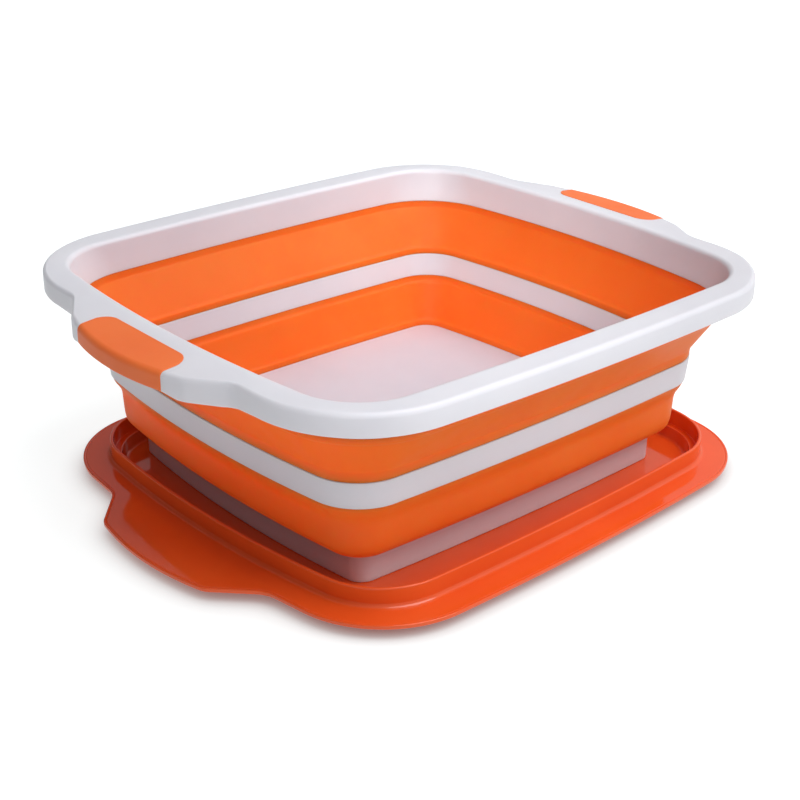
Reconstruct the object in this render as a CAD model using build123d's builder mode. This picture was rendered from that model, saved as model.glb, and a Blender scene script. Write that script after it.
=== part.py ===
"""Collapsible storage crate standing in its upturned lid.

The tub is three stiff white hoops (rim, mid ring and base tray) joined by two soft folding bands.
Each short side of the rim carries a hand tab with a soft grip over its outer edge.  The lid lies
upside down under the tub, so that its plug wall makes a shallow tray for the tub's foot.

Frame: +Z up, +X along the long side, origin on the surface under the middle of the tub.
A level is (height, half length, half width, corner radius), all in millimetres.  Every outline is
a rounded oblong whose sides bow out a little, and its half sizes are at the middles of the sides.
"""
import os
from math import atan2, cos, radians, sin, sqrt

from build123d import *

# ---- driving dimensions -----------------------------------------------------------------------
WALL = 3.0                # stiff hoops
BAND_SKIN = 2.2           # soft folding bands
FIT_GAP = 0.3             # clearance round a tongue in its groove
BOW_X = 6.5               # how far the short sides bow out between the corners
BOW_Y = 2.7               # and the long sides

# lid, upside down
LID_SHIFT_X = 1.0         # where the tub was set down in it
LID_SHIFT_Y = -8.5
LID_TURN = 1.9            # degrees
LID_SKIN = 2.5
LID_FLANGE_LOW = 6.2      # the sunk middle panel holds the flange off the surface
LID_FLANGE = (182.0, 164.0, 66.0)
LID_WALL_TOP = 20.9
LID_WALL = (164.6, 145.0, 47.5)
LID_WALL_SKIN = 2.0
LID_STEP = 4.0            # ledge inside the wall, measured from the wall's outer face
LID_WELL_SLOPE = 3.5      # how far the well's side leans in on its way down
LID_TAB = (76.0, 50.0, 202.5, 209.0, 20.0, 14.0)

# rim
RIM_TOP = 135.7
RIM_SKIRT = 13.8          # height of the outer skirt
RIM_OUTER = (186.0, 172.0, 70.0)
RIM_OUTER_BOW = 1.0       # its short sides are nearly straight beside the tabs
RIM_EDGE_RADIUS = 4.0
RIM_LIP_RADIUS = 3.0
RIM_MOUTH = (RIM_TOP, 171.7, 152.3, 41.0)
RIM_FOOT = (112.8, 171.7, 152.6, 54.0)
RIM_TAB = (80.0, 58.0, 200.0, 210.0, 20.0, 20.0)

# soft grip on each hand tab
GRIP_INNER_X = 184.5
GRIP_HALF_WIDTH = 42.5
GRIP_CORNER = 11.0
GRIP_SKIN = 1.8
GRIP_PROUD = 0.4

# mid ring
RING_WALL = 5.0
RING_TOP = (77.8, 151.7, 130.9, 28.8)
RING_FOOT = (61.1, 150.3, 129.8, 28.3)

# base tray
FLOOR_TOP = 24.8
FLOOR_PLATE = (139.0, 119.4, 15.5)
FOOT_BOTTOM = LID_SKIN
FOOT = (133.3, 115.0, 11.5)

# tongues that key the hoops into the bands
TONGUE_INSET = 1.0
TONGUE_THICKNESS = 1.0
TONGUE_HEIGHT = 2.2

# inner faces of the bands, from the top down; the short steps are the fold lines
UPPER_BAND = [
    RIM_FOOT,
    (108.5, 171.3, 152.2, 53.6),
    (107.0, 169.9, 150.8, 52.2),
    (83.5, 154.3, 133.7, 32.0),
    (82.0, 152.2, 131.4, 29.5),
    RING_TOP,
]
LOWER_BAND = [
    RING_FOOT,
    (57.5, 150.0, 129.5, 28.0),
    (56.0, 148.4, 127.9, 26.4),
    (30.0, 140.9, 121.1, 18.0),
    (28.5, 139.4, 119.7, 16.2),
    (FLOOR_TOP, *FLOOR_PLATE),
]
BAND_LIP_LOW = 22.6       # underside of the lower band's rolled bottom edge
BAND_LIP = 4.2            # its thickness

LID_PLANE = Plane(
    origin=(LID_SHIFT_X, LID_SHIFT_Y, 0),
    x_dir=(cos(radians(LID_TURN)), sin(radians(LID_TURN)), 0),
    z_dir=(0, 0, 1),
)


# ---- shared shapes ----------------------------------------------------------------------------
def outline(size, bow_x=BOW_X):
    """Rounded oblong with bowed sides, drawn as eight arcs that run smoothly into each other."""
    half_x, half_y, radius = size
    core_x = half_x - bow_x - radius
    core_y = half_y - BOW_Y - radius
    lean_x = 2 * atan2(bow_x, core_y)
    lean_y = radians(90) - 2 * atan2(BOW_Y, core_x)
    corner = [
        (core_x + radius * cos(angle), core_y + radius * sin(angle))
        for angle in (lean_x, (lean_x + lean_y) / 2, lean_y)
    ]
    middles = [(half_x, 0), (0, half_y), (-half_x, 0), (0, -half_y)]
    quarters = [(1, 1), (-1, 1), (-1, -1), (1, -1)]
    with BuildSketch() as shape:
        with BuildLine():
            for index, (sign_x, sign_y) in enumerate(quarters):
                way = sign_x * sign_y
                start, middle, end = [(sign_x * x, sign_y * y) for x, y in corner[::way]]
                last_x, last_y = quarters[index - 1]
                before = corner[0 if way > 0 else -1]
                ThreePointArc((last_x * before[0], last_y * before[1]), middles[index], start)
                ThreePointArc(start, middle, end)
        make_face()
    return shape.sketch


def grown(size, amount):
    """The same outline, evenly larger or smaller."""
    return tuple(value + amount for value in size)


def tapered(levels, grow=0.0, plane=Plane.XY):
    """A solid that runs straight from each level's outline to the next."""
    with BuildPart() as stack:
        for height, *size in sorted(levels):
            with BuildSketch(plane.offset(height)):
                add(outline(grown(size, grow)))
        loft(ruled=True)
    return stack.part


def prism(size, low, high, grow=0.0, plane=Plane.XY):
    """An upright block with one outline from top to bottom."""
    return tapered([(low, *size), (high, *size)], grow, plane)


def tabbed_plan(size, tab, bow_x=BOW_X):
    """The outline with a hand tab on each short side.

    A tab is (half width at the root, half width at the tip, reach at the tip's corners,
    reach at its middle, root fillet, tip fillet).
    """
    half_x, half_y, radius = size
    root_half, tip_half, corner_reach, reach, root_fillet, tip_fillet = tab
    half_chord = half_y - BOW_Y - radius
    side_radius = radius + (half_chord**2 + bow_x**2) / (2 * bow_x)
    root_x = half_x - side_radius + sqrt(side_radius**2 - root_half**2)
    with BuildSketch() as plan:
        add(outline(size, bow_x))
        for side in (-1, 1):
            with BuildLine():
                Polyline(
                    (side * corner_reach, tip_half),
                    (side * root_x, root_half),
                    (side * (half_x - radius), root_half),
                    (side * (half_x - radius), -root_half),
                    (side * root_x, -root_half),
                    (side * corner_reach, -tip_half),
                )
                ThreePointArc(
                    (side * corner_reach, -tip_half),
                    (side * reach, 0),
                    (side * corner_reach, tip_half),
                )
            make_face()
        corners = plan.vertices()
        fillet(corners.filter_by(lambda v: abs(abs(v.Y) - root_half) < 0.1), root_fillet)
        corners = plan.vertices()
        fillet(corners.filter_by(lambda v: abs(abs(v.X) - corner_reach) < 0.1), tip_fillet)
    return plan.sketch


def slab(plan, low, high, grow=0.0, plane=Plane.XY):
    """A plan raised from one height to another, grown or shrunk evenly first."""
    with BuildPart() as block:
        with BuildSketch(plane.offset(low)):
            add(plan)
            if grow:
                offset(amount=grow, kind=Kind.ARC)
        extrude(amount=high - low)
    return block.part


def tongue(level, low, high, grow=0.0):
    """The thin upright key that a band grips, along the middle of a hoop's edge."""
    size = level[1:]
    outer = prism(size, low, high, TONGUE_INSET + TONGUE_THICKNESS + grow)
    inner = prism(size, low, high, TONGUE_INSET - grow)
    return outer - inner


rim_plan = tabbed_plan(RIM_OUTER, RIM_TAB, RIM_OUTER_BOW)
lid_plan = tabbed_plan(LID_FLANGE, LID_TAB)
skirt_low = RIM_TOP - RIM_SKIRT

# ---- soft grips -------------------------------------------------------------------------------
grips = {}
for grip_name, side in (("grip_left", -1), ("grip_right", 1)):
    with BuildPart() as grip:
        with BuildSketch(Plane.XY.offset(skirt_low)):
            add(rim_plan)
            offset(amount=GRIP_PROUD, kind=Kind.ARC)
            with Locations((side * (GRIP_INNER_X + GRIP_HALF_WIDTH), 0)):
                RectangleRounded(
                    2 * GRIP_HALF_WIDTH, 2 * GRIP_HALF_WIDTH, GRIP_CORNER, mode=Mode.INTERSECT
                )
        extrude(amount=RIM_SKIRT + GRIP_PROUD)
        top_edges = grip.edges().group_by(Axis.Z)[-1]
        outer_edge = top_edges.sort_by(Axis.X)[-1 if side > 0 else 0]
        fillet(outer_edge, RIM_EDGE_RADIUS)
        with BuildSketch(Plane.XY.offset(skirt_low)):
            add(rim_plan)
            offset(amount=-GRIP_SKIN, kind=Kind.ARC)
        extrude(amount=RIM_SKIRT - GRIP_SKIN, mode=Mode.SUBTRACT)
    grips[grip_name] = grip.part

# ---- rim --------------------------------------------------------------------------------------
rim_cavity = slab(rim_plan, skirt_low, RIM_TOP - WALL, -WALL)
rim_inner_wall = tapered([RIM_FOOT, RIM_MOUTH], WALL)
rim_mouth = tapered([RIM_FOOT, RIM_MOUTH])
rim_tongue = tongue(RIM_FOOT, RIM_FOOT[0] - TONGUE_HEIGHT, RIM_FOOT[0])

with BuildPart() as rim_frame:
    with BuildSketch(Plane.XY.offset(skirt_low)):
        add(rim_plan)
    extrude(amount=RIM_SKIRT)
    fillet(rim_frame.edges().group_by(Axis.Z)[-1], RIM_EDGE_RADIUS)
    add(rim_cavity, mode=Mode.SUBTRACT)
    add(rim_inner_wall)
    add(rim_mouth, mode=Mode.SUBTRACT)
    mouth_edges = rim_frame.edges().group_by(Axis.Z)[-1].filter_by(
        lambda e: abs(e.center().X) < RIM_MOUTH[1] + 0.5 and abs(e.center().Y) < RIM_MOUTH[2] + 0.5
    )
    fillet(mouth_edges, RIM_LIP_RADIUS)
    add(rim_tongue)
    for grip_part in grips.values():
        add(grip_part, mode=Mode.SUBTRACT)

# ---- mid ring ---------------------------------------------------------------------------------
ring_outer = tapered([RING_FOOT, RING_TOP], RING_WALL)
ring_bore = tapered([RING_FOOT, RING_TOP])
ring_top_tongue = tongue(RING_TOP, RING_TOP[0], RING_TOP[0] + TONGUE_HEIGHT)
ring_foot_tongue = tongue(RING_FOOT, RING_FOOT[0] - TONGUE_HEIGHT, RING_FOOT[0])

with BuildPart() as mid_ring:
    add(ring_outer)
    add(ring_bore, mode=Mode.SUBTRACT)
    add(ring_top_tongue)
    add(ring_foot_tongue)

# ---- base tray --------------------------------------------------------------------------------
floor_low = FLOOR_TOP - WALL
with BuildPart() as base_tray:
    add(prism(FLOOR_PLATE, floor_low, FLOOR_TOP))
    add(prism(FOOT, FOOT_BOTTOM, floor_low))
    add(prism(FOOT, FOOT_BOTTOM, floor_low, -WALL), mode=Mode.SUBTRACT)
    fillet(base_tray.faces().sort_by(Axis.Z)[0].edges(), 1.0)

# ---- folding bands ----------------------------------------------------------------------------
# The collars that meet a hoop are as thick as the hoop; between them the skin is thinner.
thinner = BAND_SKIN - WALL
upper_outer = [
    RIM_FOOT,
    UPPER_BAND[1],
    *[(height, *grown(size, thinner)) for height, *size in UPPER_BAND[2:4]],
    UPPER_BAND[4],
    RING_TOP,
]
rim_groove = tongue(RIM_FOOT, RIM_FOOT[0] - TONGUE_HEIGHT - FIT_GAP, RIM_FOOT[0], FIT_GAP)
ring_top_groove = tongue(RING_TOP, RING_TOP[0], RING_TOP[0] + TONGUE_HEIGHT + FIT_GAP, FIT_GAP)

with BuildPart() as upper_band:
    add(tapered(upper_outer, WALL))
    add(tapered(UPPER_BAND), mode=Mode.SUBTRACT)
    add(rim_groove, mode=Mode.SUBTRACT)
    add(ring_top_groove, mode=Mode.SUBTRACT)

lip_grow = BAND_LIP - WALL
lower_outer = [
    RING_FOOT,
    LOWER_BAND[1],
    *[(height, *grown(size, thinner)) for height, *size in LOWER_BAND[2:4]],
    (FLOOR_TOP, *grown(FLOOR_PLATE, lip_grow)),
]
ring_foot_groove = tongue(
    RING_FOOT, RING_FOOT[0] - TONGUE_HEIGHT - FIT_GAP, RING_FOOT[0], FIT_GAP
)

with BuildPart() as lower_band:
    add(tapered(lower_outer, WALL))
    add(prism(FLOOR_PLATE, BAND_LIP_LOW, FLOOR_TOP, BAND_LIP))
    add(tapered(LOWER_BAND), mode=Mode.SUBTRACT)
    add(prism(FLOOR_PLATE, BAND_LIP_LOW, FLOOR_TOP), mode=Mode.SUBTRACT)
    add(ring_foot_groove, mode=Mode.SUBTRACT)

# ---- lid --------------------------------------------------------------------------------------
flange_top = LID_FLANGE_LOW + LID_SKIN


def well(top, bottom, grow):
    """The sunk middle of the lid, narrowing downwards from the ledge."""
    floor_size = grown(LID_WALL, -LID_STEP - LID_WELL_SLOPE)
    mouth_size = grown(LID_WALL, -LID_STEP)
    return tapered([(bottom, *floor_size), (top, *mouth_size)], grow, LID_PLANE)


lid_flange = slab(lid_plan, LID_FLANGE_LOW, flange_top, 0.0, LID_PLANE)
lid_wall = prism(LID_WALL, flange_top, LID_WALL_TOP, 0.0, LID_PLANE)
lid_wall_inside = prism(LID_WALL, flange_top, LID_WALL_TOP, -LID_WALL_SKIN, LID_PLANE)
lid_well_block = well(flange_top, 0.0, LID_SKIN)
lid_well = well(flange_top, LID_SKIN, 0.0)

with BuildPart() as lid:
    add(lid_flange)
    add(lid_wall)
    add(lid_wall_inside, mode=Mode.SUBTRACT)
    add(lid_well_block)
    add(lid_well, mode=Mode.SUBTRACT)

# ---- hand over --------------------------------------------------------------------------------
pieces = {
    "rim_frame": rim_frame.part,
    "mid_ring": mid_ring.part,
    "base_tray": base_tray.part,
    "upper_band": upper_band.part,
    "lower_band": lower_band.part,
    "lid": lid.part,
    **grips,
}
os.makedirs("parts", exist_ok=True)
for piece_name, piece in pieces.items():
    piece.label = piece_name
    export_step(piece, f"parts/{piece_name}.step")
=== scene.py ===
"""Looks of the collapsible storage crate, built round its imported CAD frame.

A piece is a list of closed loops with the same number of points, one loop per stop of its
section, and each edge is rounded between three neighbouring stops. Sizes here are in
millimetres, and the finished meshes are in metres.
"""
from math import atan2, cos, pi, radians, sin, tan

import bmesh
import bpy
import numpy as np
from mathutils import Matrix, Vector


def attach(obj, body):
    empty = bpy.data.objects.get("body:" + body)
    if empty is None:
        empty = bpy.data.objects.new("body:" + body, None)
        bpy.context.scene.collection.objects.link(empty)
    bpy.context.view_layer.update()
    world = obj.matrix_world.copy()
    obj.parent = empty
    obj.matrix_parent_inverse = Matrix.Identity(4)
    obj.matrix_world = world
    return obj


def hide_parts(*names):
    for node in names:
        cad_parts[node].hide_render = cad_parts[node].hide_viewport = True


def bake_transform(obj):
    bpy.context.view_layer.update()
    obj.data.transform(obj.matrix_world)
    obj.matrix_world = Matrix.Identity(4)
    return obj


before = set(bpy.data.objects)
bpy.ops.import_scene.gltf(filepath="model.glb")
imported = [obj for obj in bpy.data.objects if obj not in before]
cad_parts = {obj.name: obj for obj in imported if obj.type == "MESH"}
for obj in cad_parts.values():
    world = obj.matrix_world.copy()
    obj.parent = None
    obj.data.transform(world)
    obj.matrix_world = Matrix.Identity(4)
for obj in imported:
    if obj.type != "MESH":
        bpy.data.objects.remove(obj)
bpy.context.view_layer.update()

MM = 0.001

# ---- sizes, in millimetres --------------------------------------------------------------------
ARC_STEPS = 24            # points round a corner of a hoop
SIDE_STEPS = 30           # points along a long side
ROUND_STEPS = 5           # points across a rounded edge
CROWN_STEPS = 40          # points along the end of a hand tab

BOW_X = 6.5               # how far the short sides bow out between the corners
BOW_Y = 2.7               # and the long sides
WALL = 3.0                # thickness of the rim and of the foot

# A size is (half length, half width, corner radius), measured at the middles of the sides.
# A tab is (root half width, tip half width, reach at the tips, reach, root fillet, tip fillet).
RIM_TOP = 135.7
RIM_SKIRT = 13.8
RIM_OUTER = (186.0, 172.0, 70.0)
RIM_BOW = 1.0
RIM_TAB = (80.0, 58.0, 200.0, 210.0, 20.0, 20.0)
RIM_MOUTH = (171.7, 152.3, 41.0)
RIM_FOOT = (171.7, 152.6, 54.0)
RIM_FOOT_Z = 112.8
MOUTH_EDGE = 6.2          # from the mouth out to where the deck starts to droop
TAB_DROOP = 3.2           # how far the deck falls away towards the end of a tab
DROOP_START = 178.0       # where it starts to fall
SKIRT_DIP = 2.4           # how far the skirt hangs lower beside a grip
DIP_END = 92.0            # where along the side the dip ends
DIP_FADE = 18.0           # over what length it fades towards the corner
DIP_START_FADE = 10.0     # and from the grip

GRIP_INNER_X = 184.5
GRIP_HALF_WIDTH = 42.5
GRIP_CORNER = 11.0        # radius of its two inner corners
GRIP_PROUD = 0.4          # how far it stands above the white plastic
GRIP_SKIN = 1.8
GRIP_END = 0.6            # length over which its ends rise
GRIP_COLUMNS = 65

RING_TOP = (151.7, 130.9, 28.8)
RING_FOOT = (150.3, 129.8, 28.3)
RING_TOP_Z = 77.8
RING_FOOT_Z = 61.1
RING_WALL = 5.0

FLOOR_TOP = 24.8
FLOOR_LOW = 21.8
FLOOR_PLATE = (139.0, 119.4, 15.5)
FOOT = (133.3, 115.0, 11.5)
FOOT_LOW = 2.5

BAND_COLLAR = 4.5         # thickness of a band where it meets a hoop
BAND_SKIN = 2.2           # and between its fold lines
PARTING = 0.12            # how far a band lies below the face of the hoop beside it

LID_SHIFT = (1.0, -8.5)
LID_TURN = 1.9
LID_FLANGE = (182.0, 164.0, 66.0)
LID_TAB = (76.0, 50.0, 202.5, 209.0, 20.0, 14.0)
LID_WALL = (164.6, 145.0, 47.5)
LID_LOW = 6.2
LID_TOP = 8.7
LID_WALL_TOP = 20.9
LID_WALL_SKIN = 2.0
LID_LEDGE = 7.0           # from the wall's outer face in to the edge of the well
LID_LEDGE_TOP = 11.0
LID_WELL = 8.5            # and in to the foot of the well's side
LID_SKIN = 2.5
EDGE_BEAD = 1.7           # width of the rolled bead along the flange's edge


# ---- loops ------------------------------------------------------------------------------------
def rounded_corner(before, corner, after, cut, steps=ROUND_STEPS):
    """Points of the arc that rounds a corner, `cut` back from it along both legs.

    The three may be single points or whole loops of points.
    """
    leg_a = before - corner
    leg_b = after - corner
    length_a = np.linalg.norm(leg_a, axis=-1, keepdims=True)
    length_b = np.linalg.norm(leg_b, axis=-1, keepdims=True)
    cut = np.minimum(cut, 0.499 * np.minimum(length_a, length_b))
    start = corner + leg_a / length_a * cut
    end = corner + leg_b / length_b * cut
    cosine = np.sum(leg_a * leg_b, axis=-1, keepdims=True) / (length_a * length_b)
    weight = np.sqrt(np.clip((1 - cosine) / 2, 1e-6, 1))
    points = []
    for step in range(steps + 1):
        t = step / steps
        a, b, c = (1 - t) ** 2, 2 * t * (1 - t) * weight, t ** 2
        points.append((a * start + b * corner + c * end) / (a + b + c))
    return points


def rounded_path(points, radii, steps):
    """A flat open path with each inner corner turned into an arc of its radius."""
    points = [np.array(p, dtype=float) for p in points]
    path = [points[0]]
    for before, corner, after, radius in zip(points, points[1:], points[2:], radii):
        a = (before - corner) / np.linalg.norm(before - corner)
        b = (after - corner) / np.linalg.norm(after - corner)
        half_turn = (pi - np.arccos(np.clip(a @ b, -1, 1))) / 2
        path += rounded_corner(before, corner, after, radius * tan(half_turn), steps)
    path.append(points[-1])
    return np.array(path)


def side_arc(core, radius, bow):
    """The radius of a bowed side's arc, and how far along it runs before the corner starts."""
    arc = radius + (core ** 2 + bow ** 2) / (2 * bow)
    return arc, core + radius * sin(2 * atan2(bow, core))


def out_at(half, arc, along):
    """How far out an arc that peaks at `half` lies, at a place along it."""
    return half - arc + np.sqrt(arc ** 2 - along ** 2)


def tab_side(size, tab, bow=BOW_X):
    """The +X side of a tabbed plan, from the end of one corner arc to the start of the next."""
    half_x, half_y, radius = size
    root_half, tip_half, corner_reach, reach, root_fillet, tip_fillet = tab
    arc, end = side_arc(half_y - BOW_Y - radius, radius, bow)
    sag = reach - corner_reach
    crown_arc = (tip_half ** 2 + sag ** 2) / (2 * sag)
    lean = np.arcsin(tip_half / crown_arc)
    tip = np.array([corner_reach, -tip_half])
    corners = [
        (out_at(half_x, arc, end), -end),
        (out_at(half_x, arc, root_half), -root_half),
        tip,
        tip + 2 * tip_fillet * np.array([sin(lean), cos(lean)]),
    ]
    flank = rounded_path(corners, (root_fillet, tip_fillet), 8)[:-1]
    ys = np.linspace(flank[-1, 1], -flank[-1, 1], CROWN_STEPS + 1)[1:-1]
    crown = np.column_stack([out_at(reach, crown_arc, ys), ys])
    return np.concatenate([flank, crown, flank[::-1] * (1, -1)])


def stations(side):
    """Where the points of a side lie along its length, as shares of its half."""
    return side[:, 1] / side[-1, 1]


PLAIN_SIDE = np.linspace(-1, 1, SIDE_STEPS)


def hoop(size, z, side=PLAIN_SIDE, bow=BOW_X):
    """A rounded oblong with bowed sides at height z, its X sides sampled at `side`."""
    half_x, half_y, radius = size
    core_x = half_x - bow - radius
    core_y = half_y - BOW_Y - radius
    arc_x, end_x = side_arc(core_y, radius, bow)
    arc_y, end_y = side_arc(core_x, radius, BOW_Y)
    turns = np.linspace(2 * atan2(bow, core_y), pi / 2 - 2 * atan2(BOW_Y, core_x), ARC_STEPS + 1)
    short = side * end_x
    long = PLAIN_SIDE * end_y
    corner = np.column_stack([core_x + radius * np.cos(turns), core_y + radius * np.sin(turns)])
    corner = corner[1:-1]
    half_loop = np.concatenate([
        np.column_stack([out_at(half_x, arc_x, short), short]),
        corner,
        np.column_stack([-long, out_at(half_y, arc_y, long)]),
        corner[::-1] * (-1, 1),
    ])
    loop = np.concatenate([half_loop, -half_loop])
    return np.column_stack([loop, np.full(len(loop), float(z))])


def tabbed(size, tab, grow, z, bow=BOW_X):
    """The plan with a hand tab on each X side, grown evenly by `grow`, at height z."""
    side = tab_side(size, tab, bow)
    loop = hoop(size, z, stations(side), bow)
    count = len(side)
    half = len(loop) // 2
    loop[:count, :2] = side
    loop[half:half + count, :2] = -side
    ahead = np.roll(loop, -1, axis=0) - loop
    behind = loop - np.roll(loop, 1, axis=0)
    tangent = ahead / np.linalg.norm(ahead, axis=1, keepdims=True)
    tangent += behind / np.linalg.norm(behind, axis=1, keepdims=True)
    tangent /= np.linalg.norm(tangent, axis=1, keepdims=True)
    loop[:, 0] += grow * tangent[:, 1]
    loop[:, 1] -= grow * tangent[:, 0]
    return loop


def section(stops, closed=True):
    """Rounds a list of (loop, cut) stops into the loops of a smooth-edged section."""
    loops = []
    last = len(stops) - 1
    for place, (loop, cut) in enumerate(stops):
        at_end = not closed and place in (0, last)
        if cut == 0 or at_end:
            loops.append(loop)
            continue
        before = stops[place - 1][0]
        after = stops[(place + 1) % len(stops)][0]
        loops += rounded_corner(before, loop, after, cut)
    return loops


def grown(size, amount):
    return tuple(length + amount for length in size)


# ---- meshes -----------------------------------------------------------------------------------
def piece(name, loops, material, node, body=None, closed=True):
    """A finished piece from its loops, closed round its section or else capped at both ends."""
    count = len(loops[0])
    points = np.concatenate(loops) * MM
    faces = []
    rows = len(loops) if closed else len(loops) - 1
    for row in range(rows):
        low = row * count
        high = (row + 1) % len(loops) * count
        for k in range(count):
            n = (k + 1) % count
            faces.append((low + k, low + n, high + n, high + k))
    if not closed:
        faces.append(tuple(reversed(range(count))))
        faces.append(tuple(range((len(loops) - 1) * count, len(loops) * count)))
    mesh = bpy.data.meshes.new(name)
    mesh.from_pydata(points.tolist(), [], faces)
    finish_mesh(mesh)
    made = bpy.data.objects.new(name, mesh)
    bpy.context.scene.collection.objects.link(made)
    made.data.materials.append(material)
    weighted = made.modifiers.new("even_normals", "WEIGHTED_NORMAL")
    weighted.keep_sharp = True
    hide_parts(node)
    if body:
        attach(made, body)
    return made


def finish_mesh(mesh):
    """Merges doubled points, points every face outwards and shades it smooth."""
    work = bmesh.new()
    work.from_mesh(mesh)
    bmesh.ops.remove_doubles(work, verts=work.verts, dist=1e-6)
    bmesh.ops.dissolve_degenerate(work, edges=work.edges, dist=1e-7)
    bmesh.ops.recalc_face_normals(work, faces=work.faces)
    for face in work.faces:
        face.smooth = True
    work.to_mesh(mesh)
    work.free()


# ---- materials --------------------------------------------------------------------------------
def moulded(name, dark, light, roughness, grain, ripple, **fixed):
    """Moulded plastic: mottled colour and gloss, a fine grain and a slow surface ripple.

    grain and ripple are (size in mm, depth in mm), and fixed holds further shader sockets.
    """
    material = bpy.data.materials.new(name)
    material.use_nodes = True
    nodes = material.node_tree.nodes
    links = material.node_tree.links
    shader = nodes["Principled BSDF"]
    place = nodes.new("ShaderNodeTexCoord").outputs["Object"]

    def noise(size, detail=2.0):
        made = nodes.new("ShaderNodeTexNoise")
        made.inputs["Scale"].default_value = 1 / (size * MM)
        made.inputs["Detail"].default_value = detail
        links.new(place, made.inputs["Vector"])
        return made.outputs["Fac"]

    mottle = nodes.new("ShaderNodeValToRGB")
    mottle.color_ramp.elements[0].position = 0.3
    mottle.color_ramp.elements[0].color = (*dark, 1)
    mottle.color_ramp.elements[1].position = 0.7
    mottle.color_ramp.elements[1].color = (*light, 1)
    links.new(noise(45, 4.0), mottle.inputs["Fac"])
    links.new(mottle.outputs["Color"], shader.inputs["Base Color"])

    gloss = nodes.new("ShaderNodeMapRange")
    gloss.inputs["From Min"].default_value = 0.3
    gloss.inputs["From Max"].default_value = 0.7
    gloss.inputs["To Min"].default_value = roughness[0]
    gloss.inputs["To Max"].default_value = roughness[1]
    links.new(noise(18, 5.0), gloss.inputs["Value"])
    links.new(gloss.outputs["Result"], shader.inputs["Roughness"])

    normal = None
    for size, depth in (ripple, grain):
        bump = nodes.new("ShaderNodeBump")
        bump.inputs["Distance"].default_value = depth * MM
        links.new(noise(size), bump.inputs["Height"])
        if normal:
            links.new(normal, bump.inputs["Normal"])
        normal = bump.outputs["Normal"]
    links.new(normal, shader.inputs["Normal"])
    for socket, value in fixed.items():
        shader.inputs[socket.replace("_", " ")].default_value = value
    return material


def paint_shade_above(material, height, shade):
    """Painted shade: multiplies a material's colour by a shade above a height in mm."""
    nodes = material.node_tree.nodes
    links = material.node_tree.links
    base = nodes["Principled BSDF"].inputs["Base Color"]
    plain = base.links[0].from_socket
    place = nodes.new("ShaderNodeSeparateXYZ")
    links.new(nodes.new("ShaderNodeTexCoord").outputs["Object"], place.inputs[0])
    above = nodes.new("ShaderNodeMapRange")
    above.inputs["From Min"].default_value = (height - 0.4) * MM
    above.inputs["From Max"].default_value = height * MM
    links.new(place.outputs["Z"], above.inputs["Value"])
    darker = nodes.new("ShaderNodeMix")
    darker.data_type = "RGBA"
    darker.blend_type = "MULTIPLY"
    darker.inputs["B"].default_value = shade
    links.new(above.outputs["Result"], darker.inputs["Factor"])
    links.new(plain, darker.inputs["A"])
    links.new(darker.outputs["Result"], base)


white = moulded(
    "satin_white",
    dark=(0.69, 0.69, 0.735),
    light=(0.72, 0.72, 0.76),
    roughness=(0.36, 0.46),
    grain=(0.7, 0.012),
    ripple=(9, 0.02),
    Subsurface_Weight=0.6,
    Subsurface_Scale=0.006,
    Subsurface_Radius=(1.0, 0.9, 0.9),
)
# Painted shade: the base's floor plate inside the tub is coloured about a fifth darker than its
# foot.
base_white_painted_shade = white.copy()
base_white_painted_shade.name = "base_white_painted_shade"
paint_shade_above(base_white_painted_shade, FLOOR_TOP, (0.80, 0.80, 0.84, 1))
band = moulded(
    "soft_orange",
    dark=(0.96, 0.155, 0.016),
    light=(0.98, 0.172, 0.021),
    roughness=(0.42, 0.52),
    grain=(0.5, 0.015),
    ripple=(7, 0.03),
    Subsurface_Weight=0.9,
    Subsurface_Scale=0.010,
    Subsurface_Radius=(1.0, 0.35, 0.12),
    Specular_IOR_Level=0.15,
)
grip_skin = moulded(
    "grip_orange",
    dark=(0.88, 0.17, 0.04),
    light=(0.92, 0.19, 0.045),
    roughness=(0.45, 0.58),
    grain=(0.45, 0.03),
    ripple=(6, 0.02),
    Subsurface_Weight=0.15,
    Subsurface_Scale=0.003,
    Subsurface_Radius=(1.0, 0.3, 0.1),
    Specular_IOR_Level=0.3,
)
gloss_orange = moulded(
    "gloss_orange",
    dark=(0.80, 0.092, 0.013),
    light=(0.84, 0.108, 0.017),
    roughness=(0.05, 0.10),
    grain=(0.6, 0.002),
    ripple=(12, 0.012),
)


# ---- white hoops ------------------------------------------------------------------------------
rim_side = stations(tab_side(RIM_OUTER, RIM_TAB, RIM_BOW))
skirt_low = RIM_TOP - RIM_SKIRT


def droop(x):
    """How far the deck has fallen at a distance x from the middle."""
    slope = TAB_DROOP / (RIM_TAB[3] - DROOP_START)
    return slope * np.maximum(np.abs(x) - DROOP_START, 0)


def rim_edge(grow, z):
    return tabbed(RIM_OUTER, RIM_TAB, grow, z, RIM_BOW)


def rim_deck_edge(grow, z):
    """The edge of the deck, which follows the droop of the tabs."""
    loop = rim_edge(grow, z)
    loop[:, 2] -= droop(loop[:, 0])
    return loop


def skirt_edge(grow):
    """The foot of the skirt, which hangs a little lower beside the grips."""
    loop = rim_edge(grow, skirt_low)
    along = np.abs(loop[:, 1])
    past_grip = np.clip((along - GRIP_HALF_WIDTH) / DIP_START_FADE, 0, 1)
    before_corner = np.clip((DIP_END - along) / DIP_FADE, 0, 1)
    on_side = np.abs(loop[:, 0]) > RING_TOP[0]
    loop[:, 2] -= on_side * SKIRT_DIP * np.minimum(past_grip, before_corner)
    return loop


def rim_inside(size, z):
    return hoop(size, z, rim_side)


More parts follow.
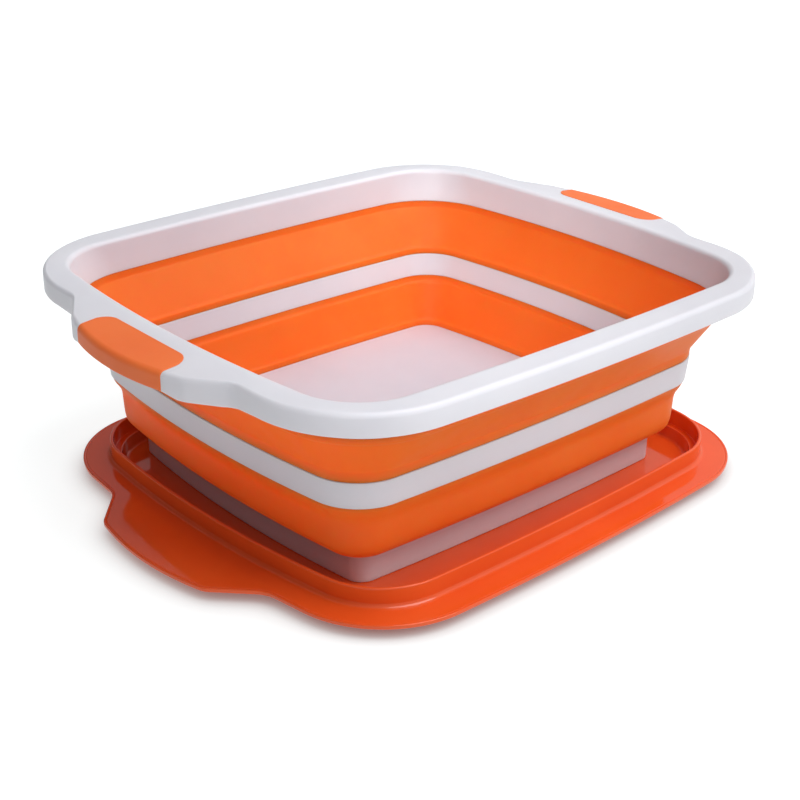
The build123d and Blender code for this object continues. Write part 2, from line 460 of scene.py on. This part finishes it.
rim_stops = [
    (rim_inside(RIM_FOOT, RIM_FOOT_Z), 0.6),
    (rim_inside(RIM_MOUTH, RIM_TOP), 3.0),
    (rim_inside(grown(RIM_MOUTH, MOUTH_EDGE), RIM_TOP), 0),
    (rim_deck_edge(0, RIM_TOP), 3.2),
    (skirt_edge(0), 0.8),
    (skirt_edge(-WALL), 0.8),
    (rim_deck_edge(-WALL, RIM_TOP - WALL), 1.5),
    (rim_inside(grown(RIM_MOUTH, WALL), RIM_TOP - WALL), 1.2),
    (rim_inside(grown(RIM_FOOT, WALL), RIM_FOOT_Z), 0.6),
]
piece("rim", section(rim_stops), white, "rim_frame", "rim")

ring_stops = [
    (hoop(RING_FOOT, RING_FOOT_Z), 0.6),
    (hoop(RING_TOP, RING_TOP_Z), 0.6),
    (hoop(grown(RING_TOP, RING_WALL), RING_TOP_Z), 0.6),
    (hoop(grown(RING_FOOT, RING_WALL), RING_FOOT_Z), 0.8),
]
piece("middle_ring", section(ring_stops), white, "mid_ring", "ring")

base_stops = [
    (hoop(grown(FLOOR_PLATE, -8), FLOOR_TOP), 0),
    (hoop(FLOOR_PLATE, FLOOR_TOP), 0.5),
    (hoop(FLOOR_PLATE, FLOOR_LOW), 0.5),
    (hoop(FOOT, FLOOR_LOW), 0.8),
    (hoop(FOOT, FOOT_LOW), 0.9),
    (hoop(grown(FOOT, -WALL), FOOT_LOW), 0.9),
    (hoop(grown(FOOT, -WALL), FLOOR_LOW), 1.0),
    (hoop(grown(FOOT, -WALL - 5), FLOOR_LOW), 0),
]
base_loops = section(base_stops, closed=False)
piece("base", base_loops, base_white_painted_shade, "base_tray", "base", closed=False)

# ---- folding bands ----------------------------------------------------------------------------
# Each stop is (height, size of the inner face, how far outside it, edge rounding).
upper_stops = [
    (RIM_FOOT_Z, RIM_FOOT, PARTING, 0.3),
    (108.5, (171.3, 152.2, 53.6), 0, 0.7),
    (107.2, (170.1, 151.0, 52.4), 0, 0.7),
    (83.5, (154.3, 133.7, 32.0), 0, 0.7),
    (82.0, (152.4, 131.6, 29.7), 0, 0.7),
    (RING_TOP_Z, RING_TOP, PARTING, 0.3),
    (RING_TOP_Z, RING_TOP, BAND_COLLAR, 0.3),
    (81.8, (152.2, 131.4, 29.5), BAND_COLLAR, 1.0),
    (84.0, (154.6, 134.0, 32.3), BAND_SKIN, 1.2),
    (107.5, (170.3, 151.2, 52.6), BAND_SKIN - 0.6, 1.2),
    (109.0, (171.3, 152.2, 53.6), BAND_SKIN, 1.0),
    (RIM_FOOT_Z, RIM_FOOT, WALL - PARTING, 0.3),
]
lower_stops = [
    (RING_FOOT_Z, RING_FOOT, PARTING, 0.3),
    (57.5, (150.0, 129.5, 28.0), 0, 0.9),
    (56.0, (148.6, 128.1, 26.6), 0, 1.0),
    (30.0, (140.9, 121.1, 18.0), 0, 1.0),
    (28.5, (139.4, 119.7, 16.2), 0, 0.8),
    (FLOOR_TOP, FLOOR_PLATE, 0, 0.2),
    (FLOOR_LOW + 1.4, FLOOR_PLATE, 0, 0.2),
    (FLOOR_LOW + 1.4, FLOOR_PLATE, 1.0, 0.4),
    (24.9, FLOOR_PLATE, 4.4, 1.8),
    (28.9, FLOOR_PLATE, 7.5, 2.2),
    (34.0, FLOOR_PLATE, 8.3, 2.4),
    (50.5, FLOOR_PLATE, 9.2, 4.0),
    (58.4, (149.4, 128.9, 27.3), BAND_COLLAR, 1.2),
    (RING_FOOT_Z, RING_FOOT, BAND_COLLAR, 0.3),
]


def folding_band(name, stops, node):
    loops = section([(hoop(grown(size, out), z), cut) for z, size, out, cut in stops])
    return piece(name, loops, band, node)


upper = folding_band("upper_fold", upper_stops, "upper_band")
lower = folding_band("lower_fold", lower_stops, "lower_band")
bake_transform(upper)
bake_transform(lower)


# ---- grips ------------------------------------------------------------------------------------
def grip(name, side, node):
    """A soft cover over the outer edge of a hand tab, built as columns across the tab."""
    outline = tab_side(RIM_OUTER, RIM_TAB, RIM_BOW)
    half = GRIP_HALF_WIDTH
    edge = GRIP_END * np.array([0, 1 / 6, 1 / 2])
    middle = np.linspace(GRIP_END - half, half - GRIP_END, GRIP_COLUMNS)
    up = np.array([0.0, 0.0, 1.0])
    loops = []
    for y in np.concatenate([edge - half, middle, half - edge[::-1]]):
        x = np.interp(y, outline[:, 1], outline[:, 0])
        ahead, behind = np.interp([y + 0.5, y - 0.5], outline[:, 1], outline[:, 0])
        normal = np.array([1.0, behind - ahead, 0.0]) / np.hypot(1.0, ahead - behind)
        past = max(0.0, abs(y) - (half - GRIP_CORNER))
        inner_x = GRIP_INNER_X + GRIP_CORNER - np.sqrt(max(GRIP_CORNER ** 2 - past ** 2, 0.0))
        rise = GRIP_PROUD * np.sqrt(np.clip((half - abs(y)) / GRIP_END, 0.0, 1.0))
        outer = np.array([x, y, 0.0]) + normal * rise
        inner = np.array([x, y, 0.0]) - normal * GRIP_SKIN
        inner_deck = RIM_TOP - droop(inner_x)
        outer_deck = RIM_TOP - droop(x)
        stops = [
            (np.array([inner_x, y, inner_deck - GRIP_SKIN]), 0),
            (np.array([inner_x, y, inner_deck + rise]), 0.5),
            (outer + up * (outer_deck + rise), 3.6),
            (outer + up * skirt_low, 1.2),
            (inner + up * skirt_low, 0.3),
            (inner + up * (outer_deck - GRIP_SKIN), 1.5),
        ]
        column = np.array(section([(point[None, :], cut) for point, cut in stops]))[:, 0, :]
        if side < 0:
            column = column * np.array([-1.0, -1.0, 1.0])
        loops.append(column)
    return piece(name, loops, grip_skin, node, "rim", closed=False)


grip("left_grip", -1, "grip_left")
grip("right_grip", 1, "grip_right")

# ---- lid, upside down -------------------------------------------------------------------------
lid_side = stations(tab_side(LID_FLANGE, LID_TAB))


def lid_edge(grow, z):
    return tabbed(LID_FLANGE, LID_TAB, grow, z)


def lid_hoop(grow, z):
    return hoop(grown(LID_WALL, grow), z, lid_side)


lid_stops = [
    (lid_hoop(-LID_WELL - 12, LID_SKIN), 0),
    (lid_hoop(-LID_WELL, LID_SKIN), 1.5),
    (lid_hoop(-LID_LEDGE, LID_LEDGE_TOP), 0.7),
    (lid_hoop(-LID_WALL_SKIN, LID_LEDGE_TOP - 0.8), 0.6),
    (lid_hoop(-LID_WALL_SKIN, LID_WALL_TOP), 0.8),
    (lid_hoop(0, LID_WALL_TOP), 0.8),
    (lid_hoop(0, LID_TOP), 2.8),
    (lid_edge(-EDGE_BEAD - 0.5, LID_TOP), 0.3),
    (lid_edge(-EDGE_BEAD, LID_TOP - 0.25), 0.2),
    (lid_edge(-EDGE_BEAD + 0.5, LID_TOP + 0.15), 0.3),
    (lid_edge(0, LID_TOP + 0.15), 0.9),
    (lid_edge(0, LID_LOW), 0.7),
    (lid_hoop(-LID_LEDGE + LID_SKIN, LID_LOW), 1.5),
    (lid_hoop(-LID_WELL + LID_SKIN, 0), 1.5),
    (lid_hoop(-LID_WELL - 12, 0), 0),
]
lid_loops = section(lid_stops, closed=False)
lid = piece("lid_shell", lid_loops, gloss_orange, "lid", "lid", closed=False)
lid.data.transform(
    Matrix.Translation((LID_SHIFT[0] * MM, LID_SHIFT[1] * MM, 0))
    @ Matrix.Rotation(radians(LID_TURN), 4, "Z")
)


# ---- floor, light and camera ------------------------------------------------------------------
SNOOT_DISTANCE = 1.2      # metres, as are the next two
TARGET = Vector((-0.0396, -0.0466, 0.0691))
DISTANCE = 0.9127
AZIMUTH = -41.43          # degrees, as are the next two
ELEVATION = 25.11
ROLL = 0.73
FOCAL = 67.54             # millimetres, as is the next
SENSOR = 36


def backdrop():
    """A white light table: it glows, so that only shadows close to the lid are dark on it.

    The camera sees its full glow, less close to the lid, where an ambient-occlusion node
    darkens it as a painted contact shadow, and the crate gets a weaker one.
    """
    bpy.ops.mesh.primitive_plane_add(size=14, location=(0, 0, -0.0002))
    floor = bpy.context.object
    floor.name = "floor"
    material = bpy.data.materials.new("paper")
    material.use_nodes = True
    nodes = material.node_tree.nodes
    links = material.node_tree.links
    shader = nodes["Principled BSDF"]
    noise = nodes.new("ShaderNodeTexNoise")
    noise.inputs["Scale"].default_value = 60
    ramp = nodes.new("ShaderNodeValToRGB")
    ramp.color_ramp.elements[0].color = (0.30, 0.31, 0.31, 1)
    ramp.color_ramp.elements[1].color = (0.32, 0.33, 0.33, 1)
    links.new(noise.outputs["Fac"], ramp.inputs["Fac"])
    links.new(ramp.outputs["Color"], shader.inputs["Base Color"])
    shader.inputs["Roughness"].default_value = 0.9
    shader.inputs["Specular IOR Level"].default_value = 0.1
    # Painted contact shadow: ambient occlusion darkens the glow that the camera sees near the
    # lid.
    painted_contact_shadow = nodes.new("ShaderNodeAmbientOcclusion")
    painted_contact_shadow.samples = 16
    painted_contact_shadow.inputs["Distance"].default_value = 0.018
    painted_contact_shadow.inputs["Color"].default_value = (0.97, 1.0, 1.0, 1)
    glow = nodes.new("ShaderNodeMix")
    glow.data_type = "RGBA"
    glow.inputs["A"].default_value = (0.72, 0.73, 0.73, 1)
    links.new(nodes.new("ShaderNodeLightPath").outputs["Is Camera Ray"], glow.inputs["Factor"])
    links.new(painted_contact_shadow.outputs["Color"], glow.inputs["B"])
    links.new(glow.outputs["Result"], shader.inputs["Emission Color"])
    shader.inputs["Emission Strength"].default_value = 0.84
    floor.data.materials.append(material)


def studio():
    """A dome, bright overhead and to the right and dim to the left, a soft sun and a snoot.

    The snoot lights the inside walls. The camera sees the dome as an even pale backdrop.
    """
    world = bpy.data.worlds.new("studio")
    bpy.context.scene.world = world
    world.use_nodes = True
    nodes = world.node_tree.nodes
    links = world.node_tree.links
    direction = nodes.new("ShaderNodeTexCoord").outputs["Generated"]

    def fade(axis, dark_end, light_end, dark, light):
        """Brightness that grows with how far a direction leans along an axis."""
        lean = nodes.new("ShaderNodeVectorMath")
        lean.operation = "DOT_PRODUCT"
        lean.inputs[1].default_value = axis
        links.new(direction, lean.inputs[0])
        ramp = nodes.new("ShaderNodeMapRange")
        ramp.inputs["From Min"].default_value = dark_end
        ramp.inputs["From Max"].default_value = light_end
        ramp.inputs["To Min"].default_value = dark
        ramp.inputs["To Max"].default_value = light
        links.new(lean.outputs["Value"], ramp.inputs["Value"])
        return ramp.outputs["Result"]

    strength = nodes.new("ShaderNodeMath")
    strength.operation = "MULTIPLY"
    links.new(fade((0, 0, 1), -0.1, 0.8, 0.42, 1.15), strength.inputs[0])
    links.new(fade((0.7, -0.6, 0), -0.6, 0.6, 0.10, 1.0), strength.inputs[1])
    pale = nodes.new("ShaderNodeMix")
    pale.inputs["B"].default_value = 1.0
    links.new(nodes.new("ShaderNodeLightPath").outputs["Is Camera Ray"], pale.inputs["Factor"])
    links.new(strength.outputs["Value"], pale.inputs["A"])
    background = nodes["Background"]
    background.inputs["Color"].default_value = (0.98, 0.98, 1.0, 1)
    links.new(pale.outputs["Result"], background.inputs["Strength"])

    overhead = bpy.data.lights.new("overhead", "SUN")
    overhead.energy = 1.58
    overhead.angle = radians(40)
    key = bpy.data.objects.new("overhead", overhead)
    key.rotation_euler = Vector((0.22, -0.36, 0.90)).to_track_quat("Z", "Y").to_euler()
    bpy.context.scene.collection.objects.link(key)

    snoot = bpy.data.lights.new("snoot", "SPOT")
    snoot.energy = 34
    snoot.spot_size = radians(18)
    snoot.spot_blend = 0.9
    snoot.shadow_soft_size = 0.08
    fill = bpy.data.objects.new("snoot", snoot)
    inside = Vector((0.12, 0.05, 0.112))
    back = Vector((-0.66, -0.58, 0.46)).normalized()
    fill.location = inside + SNOOT_DISTANCE * back
    fill.rotation_euler = back.to_track_quat("Z", "Y").to_euler()
    bpy.context.scene.collection.objects.link(fill)


def camera():
    """Looks down at the near corner, turned a little about its own axis."""
    lens = bpy.data.cameras.new("view")
    lens.lens = FOCAL
    lens.sensor_width = SENSOR
    eye = bpy.data.objects.new("view", lens)
    bpy.context.scene.collection.objects.link(eye)
    bpy.context.scene.camera = eye
    turn, tilt = radians(AZIMUTH), radians(ELEVATION)
    back = Vector((sin(turn) * cos(tilt), -cos(turn) * cos(tilt), sin(tilt)))
    facing = back.to_track_quat("Z", "Y").to_matrix().to_4x4()
    facing = facing @ Matrix.Rotation(radians(ROLL), 4, "Z")
    eye.matrix_world = Matrix.Translation(TARGET + DISTANCE * back) @ facing


backdrop()
studio()
camera()
bpy.context.scene.view_settings.view_transform = "Standard"
